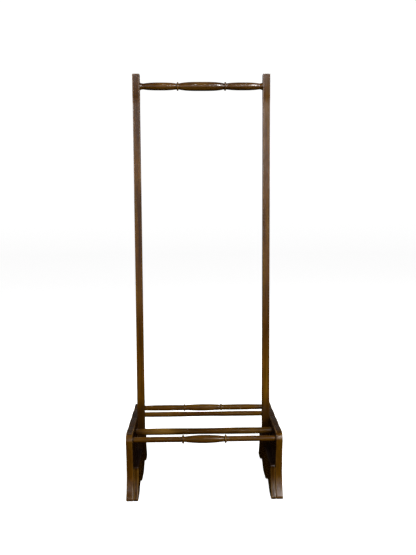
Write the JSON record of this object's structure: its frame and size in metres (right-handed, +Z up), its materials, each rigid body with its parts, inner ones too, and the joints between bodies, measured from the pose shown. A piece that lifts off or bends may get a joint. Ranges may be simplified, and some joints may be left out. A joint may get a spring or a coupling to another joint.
{
  "type": "garment and shoe stand",
  "caption": "Tall free-standing wooden garment and shoe stand: shaped end boards joined low down by turned rails, slim square posts and a turned rail across the top.",
  "frame": {"origin": "on the floor, in the middle of the stand's width and depth", "axes": "+X along the rails to the right, +Y from the front to the back, +Z up the posts"},
  "size_m": [0.566, 0.4422, 1.55],
  "materials": {
    "board": "polished mahogany, worn satin",
    "runner": "polished mahogany, worn satin",
    "post": "polished mahogany, gloss",
    "rail": "turned and polished mahogany, gloss",
    "pellet": "polished mahogany",
    "screw": "dull steel"
  },
  "bodies": {
    "root": {"front_inner_rail": "rail", "front_outer_rail": "rail", "left_end_board": "board", "left_foot_runner": "runner", "left_post": "post", "left_post_pellet_lower": "pellet", "left_post_pellet_upper": "pellet", "left_post_screw_lower": "screw", "left_post_screw_upper": "screw", "left_runner_pellet_front": "pellet", "left_runner_pellet_middle": "pellet", "left_runner_pellet_rear": "pellet", "left_runner_screw_front": "screw", "left_runner_screw_middle": "screw", "left_runner_screw_rear": "screw", "rear_inner_rail": "rail", "rear_outer_rail": "rail", "right_end_board": "board", "right_foot_runner": "runner", "right_post": "post", "right_post_pellet_lower": "pellet", "right_post_pellet_upper": "pellet", "right_post_screw_lower": "screw", "right_post_screw_upper": "screw", "right_runner_pellet_front": "pellet", "right_runner_pellet_middle": "pellet", "right_runner_pellet_rear": "pellet", "right_runner_screw_front": "screw", "right_runner_screw_middle": "screw", "right_runner_screw_rear": "screw", "top_rail": "rail"}
  },
  "joints": []
}
